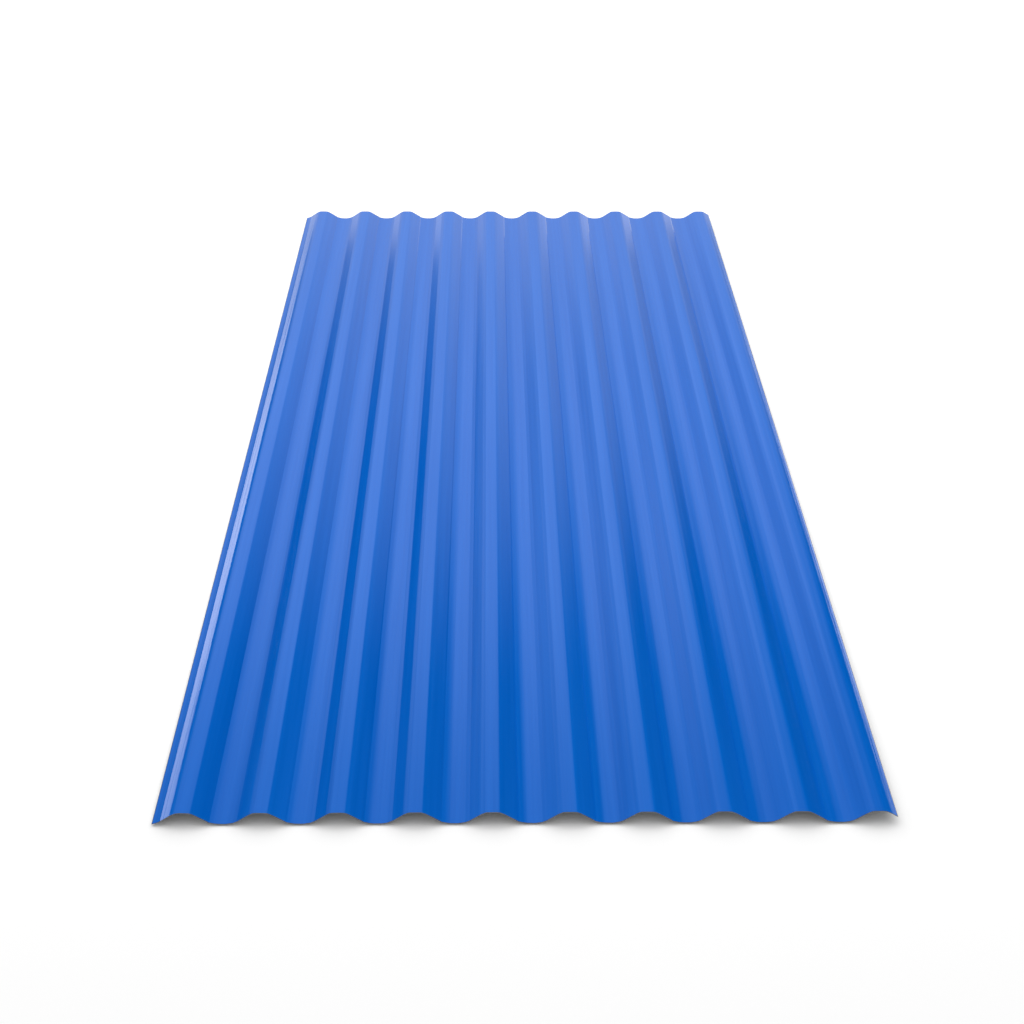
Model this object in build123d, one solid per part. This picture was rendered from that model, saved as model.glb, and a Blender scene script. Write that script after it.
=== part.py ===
from build123d import *

import math
import os

# Corrugated metal sheet: one strip of painted steel, rolled into round waves that run its whole length.
# +X goes across the waves, +Y along them, and +Z is up. The sheet lies on the undersides of its valleys.

# Driving dimensions, in millimetres
sheet_length = 1828.8  # along the waves, six feet
sheet_thickness = 0.5  # steel with its coats of paint
wave_pitch = 76.2  # from crest to crest, three inches
wave_depth = 13.2  # from valley to crest, measured on the underside
crest_flat = 6.0  # level strip along the top of each crest
valley_flat = 6.0  # level strip along the bottom of each valley
flank_flat = 15.0  # straight part of each flank, between the bends at its top and its foot
left_lap_reach = 30.5  # from the first crest out to the left edge, nearly down in a valley
right_lap_reach = 18.5  # from the last crest out to the right edge, half way down a flank
crest_count = 10

# The crest bends' part of both bends' radii added together: crests are bent tighter than valleys
crest_radius_share = 0.38

flank_span = (wave_pitch - crest_flat - valley_flat) / 2  # across one flank with both its bends


def bend_radii():
    """Underside radii of the bends beside a crest and a valley, whose common tangent is flank_flat long."""
    radius_sum = (flank_span**2 + wave_depth**2 - flank_flat**2) / (2 * wave_depth)
    crest_radius = radius_sum * crest_radius_share
    return crest_radius, radius_sum - crest_radius


def flank_slope(radius_sum):
    """Angle of the straight flanks to the level, in radians."""
    to_valley_centre = math.atan2(wave_depth - radius_sum, flank_span)
    return to_valley_centre + math.atan2(radius_sum, flank_flat)


def underside_line():
    """One edge of the section: level strips and straight flanks in turn, with a bend between each two."""
    crest_radius, valley_radius = bend_radii()
    # A bend leaves its level strip this many radii before the corner that it rounds
    corner_offset = math.tan(flank_slope(crest_radius + valley_radius) / 2)
    crest_reach = crest_flat / 2 + crest_radius * corner_offset
    valley_reach = valley_flat / 2 + valley_radius * corner_offset

    # Half waves are counted from the first crest, with one whole wave to spare past each end
    corners = []
    radii = []
    for half_wave in range(-2, 2 * crest_count + 1):
        in_valley = half_wave % 2 == 1
        middle = half_wave * wave_pitch / 2
        reach = valley_reach if in_valley else crest_reach
        height = 0 if in_valley else wave_depth
        corners += [(middle - reach, height), (middle + reach, height)]
        radii += [valley_radius if in_valley else crest_radius] * 2
    return FilletPolyline(*corners, radius=radii[1:-1])


def sheet_section():
    """The wavy strip seen end on, with side edges square to its surface, centred on its width."""
    left_edge = -left_lap_reach
    right_edge = (crest_count - 1) * wave_pitch + right_lap_reach
    pieces = underside_line()
    for edge_place in (left_edge, right_edge):
        pieces = split(pieces, bisect_by=Plane.YZ.offset(edge_place), keep=Keep.BOTH)
    underside = Wire(pieces.edges().filter_by_position(Axis.X, left_edge, right_edge))
    section = Face(underside.offset_2d(sheet_thickness, side=Side.LEFT, closed=True))
    return Pos(X=-section.bounding_box().center().X) * section


def corrugated_sheet():
    """The section carried along the sheet's length, half to each side of the origin."""
    return extrude(Plane.XZ * sheet_section(), amount=sheet_length / 2, both=True)


os.makedirs("parts", exist_ok=True)
export_step(corrugated_sheet(), "parts/corrugated_sheet.step")
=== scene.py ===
import math

import bpy
import numpy as np
from mathutils import Matrix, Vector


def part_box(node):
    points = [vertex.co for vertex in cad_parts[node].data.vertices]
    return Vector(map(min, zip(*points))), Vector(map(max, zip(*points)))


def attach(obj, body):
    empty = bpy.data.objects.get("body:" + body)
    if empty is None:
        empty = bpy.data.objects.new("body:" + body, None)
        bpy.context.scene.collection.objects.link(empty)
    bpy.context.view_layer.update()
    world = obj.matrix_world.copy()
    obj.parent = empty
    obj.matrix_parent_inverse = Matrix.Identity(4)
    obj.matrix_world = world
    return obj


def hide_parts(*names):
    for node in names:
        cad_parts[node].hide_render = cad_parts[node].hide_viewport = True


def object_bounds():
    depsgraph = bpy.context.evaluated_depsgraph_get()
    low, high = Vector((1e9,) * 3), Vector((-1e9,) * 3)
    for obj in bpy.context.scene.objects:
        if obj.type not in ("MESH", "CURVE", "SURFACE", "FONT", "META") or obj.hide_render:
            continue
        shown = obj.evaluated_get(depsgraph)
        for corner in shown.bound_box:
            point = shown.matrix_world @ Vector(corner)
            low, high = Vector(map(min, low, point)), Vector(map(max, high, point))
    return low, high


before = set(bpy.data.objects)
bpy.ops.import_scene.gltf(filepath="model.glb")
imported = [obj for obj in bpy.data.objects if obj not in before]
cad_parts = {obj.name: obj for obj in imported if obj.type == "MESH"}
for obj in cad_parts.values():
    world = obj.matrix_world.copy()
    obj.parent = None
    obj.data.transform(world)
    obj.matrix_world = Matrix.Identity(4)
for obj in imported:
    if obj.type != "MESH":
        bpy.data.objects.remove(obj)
cadLow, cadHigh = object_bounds()  # the CAD box, before anything replaces it
sheetLow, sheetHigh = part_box("corrugated_sheet")
print("frame loaded, sheet is", [round(v, 4) for v in sheetHigh - sheetLow], "m")

# The rolled sheet, in metres. Its waves repeat the part's own sizes, and the rest is for the finer surface.
sheetSizes = {
    "thickness": 0.0005,
    "pitch": 0.0762,
    "depth": 0.0132,
    "leftReach": 0.0305,
    "rightReach": 0.0185,
    "crestCount": 10,
    "columnsPerWave": 140,
    "bendWeight": 0.012,  # how much closer the columns stand in a bend
    "rows": 26,
    "rollover": 0.00012,  # how far in from a sheared edge its top corner is drawn down
    "rolloverDrop": 0.00005,
    "rolloverSteps": (0, 1, 2, 6, 20),  # closer grid lines beside the edges, in rollovers
    "sideSamples": 2001,  # places at which one side of a wave is worked out
    "widthSamples": 40001,  # places at which the columns' spacing is worked out
    "sharpDeg": 40,  # edges that turn by more than this stay sharp
}

# How far a real sheet strays from the ideal one, in metres
sheetStray = {
    "waveLift": 0.00004,  # slow rise and fall of each wave along its length
    "waveLiftPeriods": (0.83, 0.47, 0.29),
    "seed": 7,
}

# Bends of each side of a wave, in narrow steps: start and end in metres from the crest, and turn in degrees
rollBends = {
    "left": (
        (0.0020, 0.0055, 4.7),
        (0.0055, 0.0088, 22.4),
        (0.0108, 0.0120, 6.0),
        (0.0223, 0.0233, -9.0),
        (0.0263, 0.0277, -12.4),
        (0.0277, 0.0330, -3.1),
        (0.0327, 0.0350, -8.6),
    ),
    "right": (
        (0.0020, 0.0055, 4.0),
        (0.0055, 0.0088, 21.0),
        (0.0088, 0.0120, 6.4),
        (0.0120, 0.0220, 1.1),
        (0.0236, 0.0241, 8.0),
        (0.0248, 0.0258, -25.5),
        (0.0277, 0.0330, -6.0),
        (0.0327, 0.0350, -5.5),
        (0.0350, 0.0380, -3.5),
    ),
}


def eased(share):
    # Smooth step from 0 to 1: three times the square less twice the cube
    return share * share * (3 - 2 * share)


def runningSum(values, step):
    # Sum so far of the means of neighbouring values, each times its step
    means = (values[1:] + values[:-1]) / 2
    return np.concatenate([[0], np.cumsum(means * step)])


def sideFall(sizes, bends):
    # One side of a wave, from the crest to the valley. Slope: the turns of the bends so far, each eased in
    # over its width. Fall: the running sum of the slopes' tangents. Both are scaled to the wave depth.
    away = np.linspace(0, sizes["pitch"] / 2, sizes["sideSamples"])
    turn = np.zeros_like(away)
    for start, stop, degrees in bends:
        turn += degrees * eased(np.clip((away - start) / (stop - start), 0, 1))
    grade = np.tan(np.radians(turn))
    fall = runningSum(grade, np.diff(away))
    scale = sizes["depth"] / fall[-1]
    return away, fall * scale, grade * scale


def waveSection(across, sizes, bends):
    # Height: the wave depth less the fall from the nearest crest, on the side of it that the place is on.
    # Returns the underside's height and slope angle.
    half = sizes["pitch"] / 2
    signed = (across + half) % sizes["pitch"] - half
    height = np.full_like(across, sizes["depth"])
    grade = np.zeros_like(across)
    for side, sign in (("left", -1), ("right", 1)):
        away, sideDrop, sideGrade = sideFall(sizes, bends[side])
        onSide = np.clip(sign * signed, 0, half)
        height -= np.interp(onSide, away, sideDrop)
        grade -= sign * np.interp(onSide, away, sideGrade)
    return height, np.arctan(grade)


def strayLift(across, along, sizes, stray):
    # Sum of slow sines along the length, each wave with its own phases, blended between neighbours.
    # One more wave is drawn beyond each side, so that every place has two neighbours.
    draw = np.random.default_rng(stray["seed"])
    waves = sizes["crestCount"] + 2
    phases = draw.uniform(0, 2 * math.pi, (len(stray["waveLiftPeriods"]), waves))
    place = across / sizes["pitch"] + 1
    left = place.astype(int)
    share = eased(place - left)
    lift = np.zeros(np.broadcast(across, along).shape)
    for period, row in zip(stray["waveLiftPeriods"], phases):
        turn = 2 * math.pi * along / period
        lift += np.sin(turn + row[left]) * (1 - share) + np.sin(turn + row[left + 1]) * share
    return stray["waveLift"] * lift / len(phases)


def gridLines(start, stop, inner, steps):
    # The steps at both ends, and between them the inner lines, which run from 0 to 1
    first, last = start + steps[-1], stop - steps[-1]
    return np.concatenate([start + steps[:-1], first + (last - first) * inner, stop - steps[-2::-1]])


def bendShares(start, stop, count, sizes, bends):
    # Lines from 0 to 1 at equal steps of the running sum of 1 + weight * turn per metre of the section
    share = np.linspace(0, 1, sizes["widthSamples"])
    across = start + (stop - start) * share
    angle = waveSection(across, sizes, bends)[1]
    density = 1 + sizes["bendWeight"] * np.abs(np.gradient(angle, across))
    total = runningSum(density, 1)
    return np.interp(np.linspace(0, total[-1], count), total, share)


def sheetSkins(sizes, bends, stray):
    # Top and underside on one grid of rows (along) and columns (across). The underside's height is the wave
    # section plus the stray lift. The top lies one thickness along the section's normal, less at the edges.
    span = (sizes["crestCount"] - 1) * sizes["pitch"]
    start, stop = -sizes["leftReach"], span + sizes["rightReach"]
    columnCount = round((stop - start) / sizes["pitch"] * sizes["columnsPerWave"])
    steps = np.array(sizes["rolloverSteps"]) * sizes["rollover"]
    across = gridLines(start, stop, bendShares(start, stop, columnCount, sizes, bends), steps)
    along = gridLines(sheetLow[1], sheetHigh[1], np.linspace(0, 1, sizes["rows"]), steps)

    height, angle = waveSection(across, sizes, bends)
    topAcross = across - sizes["thickness"] * np.sin(angle)
    middle = (min(across[0], topAcross[0]) + max(across[-1], topAcross[-1])) / 2
    height = stray["waveLift"] + height * (1 - 2 * stray["waveLift"] / sizes["depth"])  # room for the lift
    lift = strayLift(across[None, :], along[:, None], sizes, stray)
    drop = np.zeros(lift.shape)
    drop[[0, -1], :] = sizes["rolloverDrop"]
    drop[:, [0, -1]] = sizes["rolloverDrop"]
    reach = sizes["thickness"] - drop

    under = np.stack(np.broadcast_arrays(across - middle, along[:, None], height + lift), -1)
    normal = np.stack([-np.sin(angle), np.zeros_like(angle), np.cos(angle)], -1)
    return under + reach[..., None] * normal, under


def sheetFaces(rows, columns):
    # Point numbers of the top's squares, the underside's and the strip round the four sheared edges, all
    # facing outwards. The underside's numbers follow the top's.
    skin = rows * columns
    number = np.arange(skin).reshape(rows, columns)
    corners = (number[:-1, :-1], number[:-1, 1:], number[1:, 1:], number[1:, :-1])
    topFaces = np.stack(corners, -1).reshape(-1, len(corners))
    underFaces = topFaces[:, ::-1] + skin
    rim = np.concatenate([number[0, :-1], number[:-1, -1], number[-1, :0:-1], number[:0:-1, 0]])
    rimNext = np.roll(rim, -1)
    edgeFaces = np.stack([rim, rim + skin, rimNext + skin, rimNext], -1)
    return topFaces, underFaces, edgeFaces


def makeSheet(sizes, bends, stray):
    # Both skins and the edges as one closed mesh, with a finish for each. Each point keeps its share of the
    # thickness: 1 on the top and 0 on the underside.
    top, under = sheetSkins(sizes, bends, stray)
    rows, columns = top.shape[:2]
    faceSets = sheetFaces(rows, columns)
    faces = np.concatenate(faceSets)
    finish = np.repeat([0, 1, 2], [len(faceSet) for faceSet in faceSets])
    points = np.concatenate([top.reshape(-1, 3), under.reshape(-1, 3)])
    thicknessShare = np.repeat([1, 0], rows * columns)

    mesh = bpy.data.meshes.new("corrugatedSheet")
    mesh.vertices.add(len(points))
    mesh.vertices.foreach_set("co", points.astype(np.float32).ravel())
    mesh.loops.add(faces.size)
    mesh.loops.foreach_set("vertex_index", faces.astype(np.int32).ravel())
    mesh.polygons.add(len(faces))
    mesh.polygons.foreach_set("loop_start", np.arange(0, faces.size, faces.shape[1], dtype=np.int32))
    mesh.polygons.foreach_set("material_index", finish.astype(np.int32))
    mesh.update(calc_edges=True)
    mesh.validate()
    shares = mesh.attributes.new("thicknessShare", "FLOAT", "POINT")
    shares.data.foreach_set("value", thicknessShare.astype(np.float32))
    mesh.shade_smooth()
    mesh.set_sharp_from_angle(angle=math.radians(sizes["sharpDeg"]))

    piece = bpy.data.objects.new("corrugatedSheet", mesh)
    bpy.context.scene.collection.objects.link(piece)
    return piece


sheet = makeSheet(sheetSizes, rollBends, sheetStray)
print("sheet surface:", len(sheet.data.polygons), "faces")


class Nodes:
    # Short forms for building a node tree, where a value is a number or another node's output
    def __init__(self, tree):
        self.tree = tree

    def add(self, kind, **settings):
        node = self.tree.nodes.new(kind)
        for name, value in settings.items():
            setattr(node, name, value)
        return node

    def put(self, socket, value):
        if isinstance(value, bpy.types.NodeSocket):
            self.tree.links.new(value, socket)
        else:
            socket.default_value = value

    def calc(self, kind, first, second=0.0):
        node = self.add("ShaderNodeMath", operation=kind)
        self.put(node.inputs[0], first)
        self.put(node.inputs[1], second)
        return node.outputs[0]

    def times(self, first, second):
        return self.calc("MULTIPLY", first, second)

    def plus(self, base, value, weight):
        # base + value * weight
        return self.calc("ADD", base, self.times(value, weight))

    def fade(self, value, start, stop, atStart, atStop):
        # Smooth change from one level to the other between start and stop
        node = self.add("ShaderNodeMapRange", interpolation_type="SMOOTHSTEP")
        names = ("Value", "From Min", "From Max", "To Min", "To Max")
        for name, level in zip(names, (value, start, stop, atStart, atStop)):
            self.put(node.inputs[name], level)
        return node.outputs["Result"]

    def blend(self, share, first, second):
        # Mix of two numbers
        node = self.add("ShaderNodeMix")
        for name, level in zip(("Factor", "A", "B"), (share, first, second)):
            self.put(node.inputs[name], level)
        return node.outputs["Result"]

    def tint(self, share, first, second):
        # Mix of two colours, whose sockets come after those for numbers and vectors
        node = self.add("ShaderNodeMix", data_type="RGBA")
        for socket, level in zip((node.inputs[0], node.inputs[6], node.inputs[7]), (share, first, second)):
            self.put(socket, level)
        return node.outputs[2]

    def noise(self, vector, size, detail=2.0, rough=0.5):
        # Mostly within the reach of its middle, so it is brought to about -1 to 1
        middle, reach = 0.5, 0.25
        node = self.add("ShaderNodeTexNoise")
        names = ("Vector", "Scale", "Detail", "Roughness")
        for name, level in zip(names, (vector, 1 / size, detail, rough)):
            self.put(node.inputs[name], level)
        return self.times(self.calc("SUBTRACT", node.outputs["Fac"], middle), 1 / reach)

    def stretch(self, vector, factors):
        node = self.add("ShaderNodeVectorMath", operation="MULTIPLY")
        self.put(node.inputs[0], vector)
        self.put(node.inputs[1], factors)
        return node.outputs[0]

    def place(self):
        return self.add("ShaderNodeTexCoord").outputs["Object"]

    def axes(self, vector):
        node = self.add("ShaderNodeSeparateXYZ")
        self.put(node.inputs[0], vector)
        return node.outputs

    def bump(self, height):
        # Normal of a surface raised by this height in metres
        node = self.add("ShaderNodeBump")
        self.put(node.inputs["Distance"], 1.0)
        self.put(node.inputs["Height"], height)
        return node.outputs["Normal"]


def newMaterial(name, constants):
    # A material whose shader has these constants set on it, with the short forms for its tree
    material = bpy.data.materials.new(name)
    material.use_nodes = True
    shader = material.node_tree.nodes["Principled BSDF"]
    for socket, value in constants.items():
        shader.inputs[socket].default_value = value
    return material, shader.inputs, Nodes(material.node_tree)


def newGroup(name, inputs, outputs):
    # An empty shader node group that takes and gives these values
    tree = bpy.data.node_groups.new(name, "ShaderNodeTree")
    for way, sockets in (("INPUT", inputs), ("OUTPUT", outputs)):
        for socket in sockets:
            tree.interface.new_socket(socket, in_out=way, socket_type="NodeSocketFloat")
    nodes = Nodes(tree)
    return nodes, nodes.add("NodeGroupInput").outputs, nodes.add("NodeGroupOutput").inputs


# Lines that the forming rolls leave along the waves, and the orange peel of the coat, in metres
rollLines = {
    "broad": 0.020,  # spacing across the sheet
    "fine": 0.0045,
    "alongShare": 0.012,  # how much they change along the sheet, to 1 across it
    "peel": 0.0014,
}


def makeRollLines(values):
    # Streaks and Fine: noises of the place across, nearly constant along the length. Height: both noises and
    # the peel, each times the height that the material gives for it.
    heights = ("Streak Height", "Fine Height", "Peel Height")
    nodes, given, out = newGroup("rollLines", heights, ("Streaks", "Fine", "Height"))
    place = nodes.place()
    lines = nodes.stretch(place, (1.0, values["alongShare"], 0.0))
    streaks = nodes.noise(lines, values["broad"], detail=1.0)
    fine = nodes.noise(lines, values["fine"], detail=3.0, rough=0.6)
    peel = nodes.noise(place, values["peel"], detail=1.0)
    height = nodes.times(streaks, given["Streak Height"])
    height = nodes.plus(height, fine, given["Fine Height"])
    height = nodes.plus(height, peel, given["Peel Height"])
    for name, value in zip(("Streaks", "Fine", "Height"), (streaks, fine, height)):
        nodes.put(out[name], value)
    return nodes.tree


# Bare metal along the sheared edges
shearWear = {
    "ragSize": 0.004,  # in metres
    "solidShare": 0.6,  # of its width, with no coat left
}


def makeShearWear(values):
    # Wear: 1 on the bare metal and 0 on the coat, by the distance to the nearest of the four edges plus a
    # noise times Ragged
    nodes, given, out = newGroup("shearWear", ("Width", "Ragged"), ("Wear",))
    place = nodes.place()
    axes = nodes.axes(place)
    across, along = axes["X"], axes["Y"]
    fromLeft = nodes.calc("SUBTRACT", across, sheetLow[0])
    fromRight = nodes.calc("SUBTRACT", sheetHigh[0], across)
    fromEnd = nodes.calc("SUBTRACT", sheetHigh[1], nodes.calc("ABSOLUTE", along))
    inside = nodes.calc("MINIMUM", nodes.calc("MINIMUM", fromLeft, fromRight), fromEnd)
    rag = nodes.noise(place, values["ragSize"], detail=3.0)
    inside = nodes.plus(inside, rag, given["Ragged"])
    solid = nodes.times(given["Width"], values["solidShare"])
    nodes.put(out["Wear"], nodes.fade(inside, solid, given["Width"], 1.0, 0.0))
    return nodes.tree


groups = {"rollLines": makeRollLines(rollLines), "shearWear": makeShearWear(shearWear)}


def useGroup(nodes, name, given):
    # Places a group in a material, with the material's own values, and returns its outputs
    node = nodes.add("ShaderNodeGroup", node_tree=groups[name])
    for socket, value in given.items():
        nodes.put(node.inputs[socket], value)
    return node.outputs


# Blue coil coat on the weather side, with heights and widths in metres
bluePaint = {
    "constants": {"IOR": 1.5},
    "rollLines": {"Streak Height": 0.000036, "Fine Height": 0.000014, "Peel Height": 0.0000006},
    "shearWear": {"Width": 0.0006, "Ragged": 0.00015},
    "deep": (0.0, 0.128, 0.60, 1),
    "pale": (0.004, 0.150, 0.655, 1),
    "bare": (0.09, 0.095, 0.11, 1),
    "streakShare": 0.35,  # what the lines add to the change from deep to pale
    "fineShare": 0.35,
    "swing": 0.8,  # all deep at minus this sum and all pale at plus
    "metallic": 0.10,
    "metallicSpread": 0.06,
    "roughness": 0.06,
    "roughSpread": 0.015,
    "bareRoughness": 0.4,
}


def makeBluePaint(values):
    # The roll lines turn the coat from deep to pale, with less flake, and the wear lays the metal bare
    material, shader, nodes = newMaterial("bluePaint", values["constants"])
    lines = useGroup(nodes, "rollLines", values["rollLines"])
    wear = useGroup(nodes, "shearWear", values["shearWear"])["Wear"]
    share = nodes.times(lines["Streaks"], values["streakShare"])
    share = nodes.plus(share, lines["Fine"], values["fineShare"])
    swing = values["swing"]
    coat = nodes.tint(nodes.fade(share, -swing, swing, 0.0, 1.0), values["deep"], values["pale"])
    nodes.put(shader["Base Color"], nodes.tint(wear, coat, values["bare"]))
    most = values["metallic"] + values["metallicSpread"]
    flake = nodes.fade(share, -swing, swing, most, values["metallic"])
    nodes.put(shader["Metallic"], nodes.blend(wear, flake, 1.0))
    rough = nodes.plus(values["roughness"], lines["Fine"], values["roughSpread"])
    nodes.put(shader["Roughness"], nodes.blend(wear, rough, values["bareRoughness"]))
    nodes.put(shader["Normal"], nodes.bump(lines["Height"]))
    return material


# Grey back coat on the underside, with heights and widths in metres
backCoat = {
    "constants": {"IOR": 1.5},
    "rollLines": {"Streak Height": 0.000036, "Fine Height": 0.000014, "Peel Height": 0.0000006},
    "shearWear": {"Width": 0.0006, "Ragged": 0.00015},
    "dark": (0.15, 0.155, 0.16, 1),
    "light": (0.21, 0.215, 0.22, 1),
    "bare": (0.16, 0.17, 0.19, 1),
    "mottle": 0.006,  # size of its spots
    "fineShare": 0.3,  # what the lines and the spots add to the change from dark to light
    "mottleShare": 0.4,
    "swing": 0.8,  # all dark at minus this sum and all light at plus
    "roughness": 0.36,
    "roughSpread": 0.06,
}


def makeBackCoat(values):
    # The fine lines and a mottle turn the coat from dark to light, and the wear lays the metal bare
    material, shader, nodes = newMaterial("backCoat", values["constants"])
    lines = useGroup(nodes, "rollLines", values["rollLines"])
    wear = useGroup(nodes, "shearWear", values["shearWear"])["Wear"]
    mottle = nodes.noise(nodes.place(), values["mottle"], detail=4.0, rough=0.6)
    share = nodes.times(lines["Fine"], values["fineShare"])
    share = nodes.plus(share, mottle, values["mottleShare"])
    swing = values["swing"]
    coat = nodes.tint(nodes.fade(share, -swing, swing, 0.0, 1.0), values["dark"], values["light"])
    nodes.put(shader["Base Color"], nodes.tint(wear, coat, values["bare"]))
    nodes.put(shader["Metallic"], wear)
    nodes.put(shader["Roughness"], nodes.plus(values["roughness"], mottle, values["roughSpread"]))
    nodes.put(shader["Normal"], nodes.bump(lines["Height"]))
    return material


# Bare sheared steel and zinc, in metres: a burnished band under the painted face, then the torn one
cutMetal = {
    "constants": {"Metallic": 1.0},
    "burnished": (0.26, 0.27, 0.29, 1),
    "torn": (0.14, 0.145, 0.155, 1),
    "burnishedShare": 0.62,  # where the burnished band starts in the thickness, from the underside
    "blurShare": 0.08,  # half the width of the change between the bands
    "raggedShare": 0.12,
    "ragSize": 0.0032,
    "grain": 0.0004,
    "grainStretch": (1.0, 1.0, 0.15),  # drawn out in the shear's direction
    "grainHeight": 0.00001,
    "grainShine": 0.4,  # how near the torn band's grain comes to the burnished colour
    "burnishedRoughness": 0.28,
    "tornRoughness": 0.5,
}


def makeCutMetal(values):
    # The share of the thickness plus a ragged noise divides the bands. Only the torn one has a raised grain.
    material, shader, nodes = newMaterial("cutMetal", values["constants"])
    share = nodes.add("ShaderNodeAttribute", attribute_name="thicknessShare").outputs["Fac"]
    place = nodes.place()
    rag = nodes.noise(place, values["ragSize"], detail=3.0)
    grain = nodes.noise(nodes.stretch(place, values["grainStretch"]), values["grain"])
    share = nodes.plus(share, rag, values["raggedShare"])
    start, stop = (values["burnishedShare"] + sign * values["blurShare"] for sign in (-1, 1))
    smooth = nodes.fade(share, start, stop, 0.0, 1.0)
    shine = nodes.fade(grain, -1.0, 1.0, 0.0, values["grainShine"])
    dull = nodes.tint(shine, values["torn"], values["burnished"])
    nodes.put(shader["Base Color"], nodes.tint(smooth, dull, values["burnished"]))
    rough = nodes.blend(smooth, values["tornRoughness"], values["burnishedRoughness"])
    nodes.put(shader["Roughness"], rough)
    rise = nodes.times(grain, nodes.blend(smooth, values["grainHeight"], 0.0))
    nodes.put(shader["Normal"], nodes.bump(rise))
    return material


for material in (makeBluePaint(bluePaint), makeBackCoat(backCoat), makeCutMetal(cutMetal)):
    sheet.data.materials.append(material)
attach(sheet, "root")
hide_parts("corrugated_sheet")
print("finishes on: blue paint, back coat, cut metal")

# White studio floor, in metres
studioFloor = {
    "halfSize": 12.0,
    "drop": 0.0016,  # below the sheet, which softens the thin shadow along its end
    "color": (0.97, 0.97, 0.97, 1),
    "lift": 0.02,  # light of its own
}


def makeFloor(values):
    # A matte square, with a little light of its own where the camera or the gloss sees it
    half, level = values["halfSize"], cadLow[2] - values["drop"]
    corners = [(half * x, half * y, level) for x, y in ((-1, -1), (1, -1), (1, 1), (-1, 1))]
    mesh = bpy.data.meshes.new("studioFloor")
    mesh.from_pydata(corners, [], [(0, 1, 2, 3)])
    floor = bpy.data.objects.new("studioFloor", mesh)
    bpy.context.scene.collection.objects.link(floor)
    material = bpy.data.materials.new("studioFloor")
    material.use_nodes = True
    material.node_tree.nodes.clear()
    nodes = Nodes(material.node_tree)
    matte = nodes.add("ShaderNodeBsdfDiffuse")
    nodes.put(matte.inputs["Color"], values["color"])
    rays = nodes.add("ShaderNodeLightPath").outputs
    seen = nodes.calc("MAXIMUM", rays["Is Camera Ray"], rays["Is Glossy Ray"])
    glow = nodes.add("ShaderNodeEmission")
    nodes.put(glow.inputs["Strength"], nodes.times(seen, values["lift"]))
    both = nodes.add("ShaderNodeAddShader")
    nodes.put(both.inputs[0], matte.outputs[0])
    nodes.put(both.inputs[1], glow.outputs[0])
    nodes.put(nodes.add("ShaderNodeOutputMaterial").inputs["Surface"], both.outputs[0])
    mesh.materials.append(material)


makeFloor(studioFloor)

# The studio round the sheet, as its gloss sees it. Angles are from straight up, round the sheet's length, in
# degrees, with the left side negative. Ends are the share of a direction that goes along the sheet.
studioGloss = {
    "color": (1.0, 1.0, 1.0, 1),
    "near": 0.362,  # level that the near end of the sheet mirrors
    "far": 0.727,
    "farEnds": (0.79, 0.88),
    "pastFar": 0.89,  # a little darker again past the middle
    "pastFarEnds": (0.903, 0.942),
    "rightNear": (2.2, 30.1),  # a darker right side, seen at the near end and at the far end
    "rightFar": (0.8, 35.4),
    "rightTurn": (0.815, 0.867),
    "rightEnds": ((0.835, 0.913, 0.55), (0.8985, 0.988, 0.784)),  # from, to and level, which add up
    "rightDelay": (62, 84, 0.04),  # lower down it gives way later
    "leftFade": (-64.4, -15.4),  # the same on the left
    "leftEnds": (0.91, 0.954),
    "leftLevel": 0.424,
    "leftGap": (-71.0, -66.1),  # dark low down, but bright past the far end
    "leftGapEnds": (0.894, 0.954),
    "leftGapLevel": 0.494,
    "pastEnds": (0.937, 0.945),
    "pastLevel": 0.91,
    "pastRight": (61.7, 77.7, 0.92),
    "leftEdge": (-61.3, -57.6, -48.4),  # bright edge of the left side, seen at the near end
    "leftEdgeEnds": (0.855, 0.97),
    "leftEdgeLevel": 0.565,
    "leftHorizon": (-82.4, -81.4),  # bright again close to the ground
    "rightHorizon": (81.1, 82.3),
    "horizonColor": (1.0, 0.96, 0.82, 1),
    "horizonLevel": 1.6,
    "horizonRise": (0.80, 0.85, 1.3),
    "horizonFall": (0.877, 0.943, 0.47),
    "plain": (0.2, 0.8),  # at the ground and overhead, seen from the sides and from above
    "plainEnds": (0.6, 0.75),
}

# What lights the sheet from all round: a soft dome, a little brighter overhead and behind
studioDome = {"low": 0.70, "rise": 0.173, "behind": 0.13}


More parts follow.
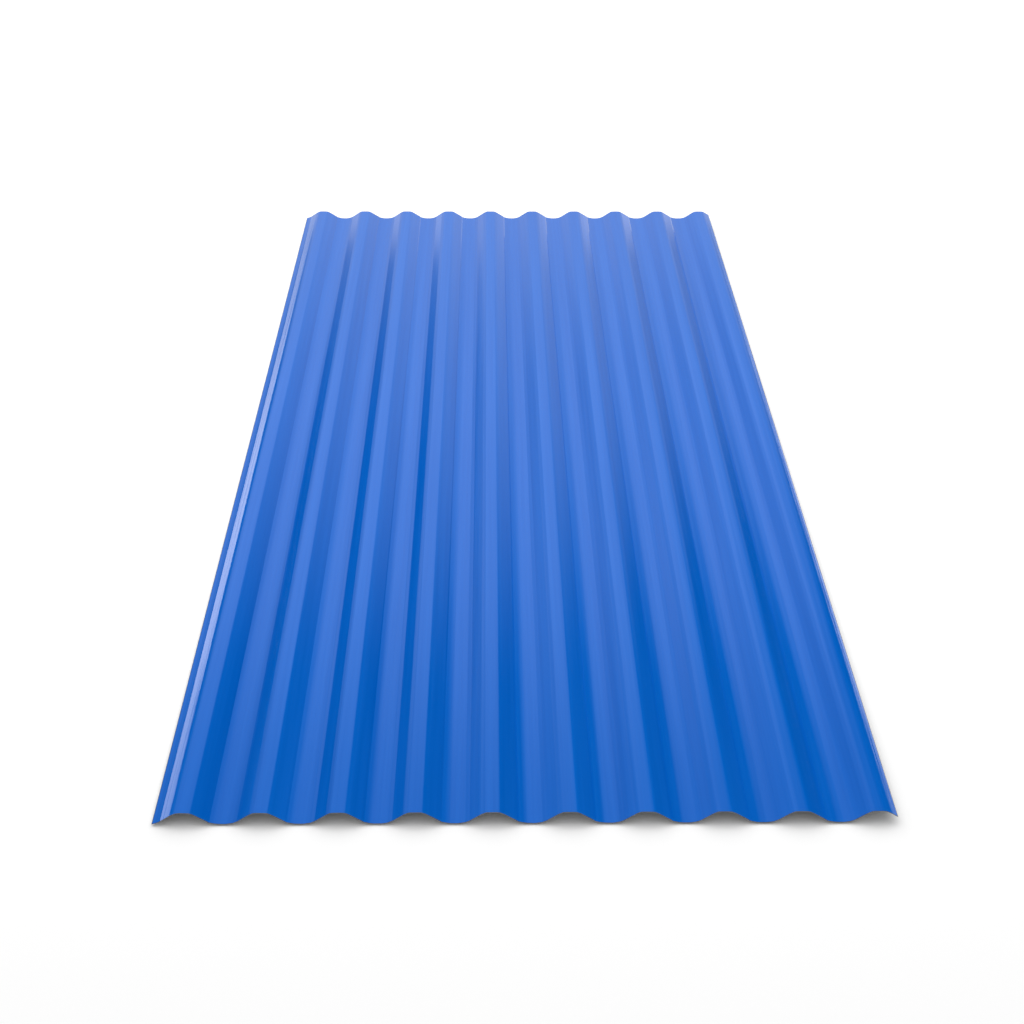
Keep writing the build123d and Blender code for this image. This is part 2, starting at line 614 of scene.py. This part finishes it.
def glossSides(nodes, gloss, angle, ends):
    # The level from near to far, times what the right side, the left side and its edge and gap leave of it
    level = nodes.fade(ends, *gloss["farEnds"], gloss["near"], gloss["far"])
    level = nodes.times(level, nodes.fade(ends, *gloss["pastFarEnds"], 1.0, gloss["pastFar"]))
    past = nodes.fade(ends, *gloss["pastEnds"], 0.0, 1.0)

    lateStart, lateStop, delay = gloss["rightDelay"]
    late = nodes.calc("SUBTRACT", ends, nodes.fade(angle, lateStart, lateStop, 0.0, delay))
    pastStart, pastStop, pastRight = gloss["pastRight"]
    rightSide = nodes.times(past, nodes.fade(angle, pastStart, pastStop, 0.0, pastRight))
    for start, stop, share in gloss["rightEnds"]:
        rightSide = nodes.calc("ADD", rightSide, nodes.fade(late, start, stop, 0.0, share))
    places = zip(gloss["rightNear"], gloss["rightFar"])
    rightStart, rightStop = (nodes.fade(ends, *gloss["rightTurn"], near, far) for near, far in places)
    level = nodes.times(level, nodes.fade(angle, rightStart, rightStop, 1.0, rightSide))

    leftSide = nodes.fade(ends, *gloss["leftEnds"], gloss["leftLevel"], 1.0)
    level = nodes.times(level, nodes.fade(angle, *gloss["leftFade"], leftSide, 1.0))
    low, peak, high = gloss["leftEdge"]
    edge = nodes.times(nodes.fade(angle, low, peak, 0.0, 1.0), nodes.fade(angle, peak, high, 1.0, 0.0))
    edge = nodes.times(edge, nodes.fade(ends, *gloss["leftEdgeEnds"], gloss["leftEdgeLevel"], 0.0))
    level = nodes.times(level, nodes.calc("ADD", edge, 1.0))
    leftLow = nodes.fade(ends, *gloss["leftGapEnds"], 0.0, gloss["leftGapLevel"])
    leftLow = nodes.plus(leftLow, past, gloss["pastLevel"])
    return nodes.times(level, nodes.fade(angle, *gloss["leftGap"], leftLow, 1.0))


def glossHorizon(nodes, gloss, angle, ends):
    # Where the bright strips close to the ground are, 1 inside them, and their level along the sheet
    where = nodes.fade(angle, *gloss["leftHorizon"], 1.0, 0.0)
    where = nodes.calc("ADD", where, nodes.fade(angle, *gloss["rightHorizon"], 0.0, 1.0))
    riseStart, riseStop, rise = gloss["horizonRise"]
    fallStart, fallStop, fall = gloss["horizonFall"]
    shine = nodes.times(nodes.fade(ends, riseStart, riseStop, 1.0, rise), gloss["horizonLevel"])
    return where, nodes.times(shine, nodes.fade(ends, fallStart, fallStop, 1.0, fall))


def makeSky(gloss, dome):
    # The gloss sees light that depends on the angle round the length and on how far along it the ray goes.
    # The dome's light is low + rise * height + behind * distance away. The camera itself sees plain white.
    world = bpy.data.worlds.new("studioSky")
    bpy.context.scene.world = world
    world.use_nodes = True
    world.node_tree.nodes.clear()
    nodes = Nodes(world.node_tree)
    x, y, z = nodes.axes(nodes.add("ShaderNodeTexCoord").outputs["Generated"])
    angle = nodes.times(nodes.calc("ARCTAN2", x, z), math.degrees(1))
    ends = nodes.calc("ABSOLUTE", y)
    rays = nodes.add("ShaderNodeLightPath").outputs

    level = glossSides(nodes, gloss, angle, ends)
    plain = nodes.fade(z, 0.0, 1.0, *gloss["plain"])
    level = nodes.blend(nodes.fade(ends, *gloss["plainEnds"], 0.0, 1.0), plain, level)
    horizon, shine = glossHorizon(nodes, gloss, angle, ends)
    level = nodes.blend(horizon, level, shine)
    warm = nodes.times(horizon, rays["Is Glossy Ray"])

    light = nodes.plus(nodes.plus(dome["low"], z, dome["rise"]), y, dome["behind"])
    strength = nodes.blend(rays["Is Glossy Ray"], light, level)
    strength = nodes.blend(rays["Is Camera Ray"], strength, 1.0)
    glow = nodes.add("ShaderNodeBackground")
    nodes.put(glow.inputs["Color"], nodes.tint(warm, gloss["color"], gloss["horizonColor"]))
    nodes.put(glow.inputs["Strength"], strength)
    nodes.put(nodes.add("ShaderNodeOutputWorld").inputs["Surface"], glow.outputs[0])


makeSky(studioGloss, studioDome)

# Weak key light from the upper left, a little behind
keyLight = {"power": 0.325, "spreadDeg": 50, "fromZenithDeg": 25, "turnDeg": 250}


def makeKey(values):
    # A sun that leans over from the zenith and is then turned about it
    lamp = bpy.data.lights.new("keyLight", "SUN")
    lamp.energy = values["power"]
    lamp.angle = math.radians(values["spreadDeg"])
    key = bpy.data.objects.new("keyLight", lamp)
    bpy.context.scene.collection.objects.link(key)
    turn = Matrix.Rotation(math.radians(values["turnDeg"]), 3, "Z")
    lean = Matrix.Rotation(math.radians(values["fromZenithDeg"]), 3, "X")
    key.rotation_euler = (turn @ lean).to_euler()


makeKey(keyLight)

# Broad soft box over all but the near end, which stays a little darker, in metres and watts
softBox = {"place": (0.0, 1.9, 0.8), "across": 4.0, "along": 5.0, "power": 30.0}


def makeSoftBox(values):
    # Faces straight down. The gloss and the camera don't see it, only what it lights.
    lamp = bpy.data.lights.new("softBox", "AREA")
    lamp.shape = "RECTANGLE"
    lamp.size, lamp.size_y = values["across"], values["along"]
    lamp.energy = values["power"]
    box = bpy.data.objects.new("softBox", lamp)
    box.location = values["place"]
    box.visible_glossy = False
    box.visible_camera = False
    bpy.context.scene.collection.objects.link(box)


makeSoftBox(softBox)
print("studio lit")

# Camera at the photograph's place, which is in metres, with its turn and focal length
photoCamera = {
    "place": (-0.0352, -2.4437, 1.1431),
    "yawDeg": 0.77,
    "downDeg": 27.52,
    "rollDeg": 0.27,
    "focalPixels": 1912.8,
    "framePixels": 1024,
    "sensorMm": 36.0,
}


def makeCamera(values):
    # Right, up and back axes from the yaw, then the tilt down, then the roll about the line of sight
    yaw, down, roll = (math.radians(values[name]) for name in ("yawDeg", "downDeg", "rollDeg"))
    ahead = np.array([math.sin(yaw) * math.cos(down), math.cos(yaw) * math.cos(down), -math.sin(down)])
    right = np.cross(ahead, [0, 0, 1])
    right = right / np.linalg.norm(right)
    up = np.cross(right, ahead)
    rolledRight = math.cos(roll) * right + math.sin(roll) * up
    rolledUp = math.cos(roll) * up - math.sin(roll) * right
    camera = bpy.data.objects.new("photoCamera", bpy.data.cameras.new("photoCamera"))
    bpy.context.scene.collection.objects.link(camera)
    axes = np.stack([rolledRight, rolledUp, -ahead], 1)
    camera.matrix_world = Matrix.Translation(values["place"]) @ Matrix(axes.tolist()).to_4x4()
    camera.data.sensor_width = values["sensorMm"]
    camera.data.lens = values["focalPixels"] * values["sensorMm"] / values["framePixels"]
    bpy.context.scene.camera = camera


makeCamera(photoCamera)
bpy.context.scene.view_settings.view_transform = "Standard"
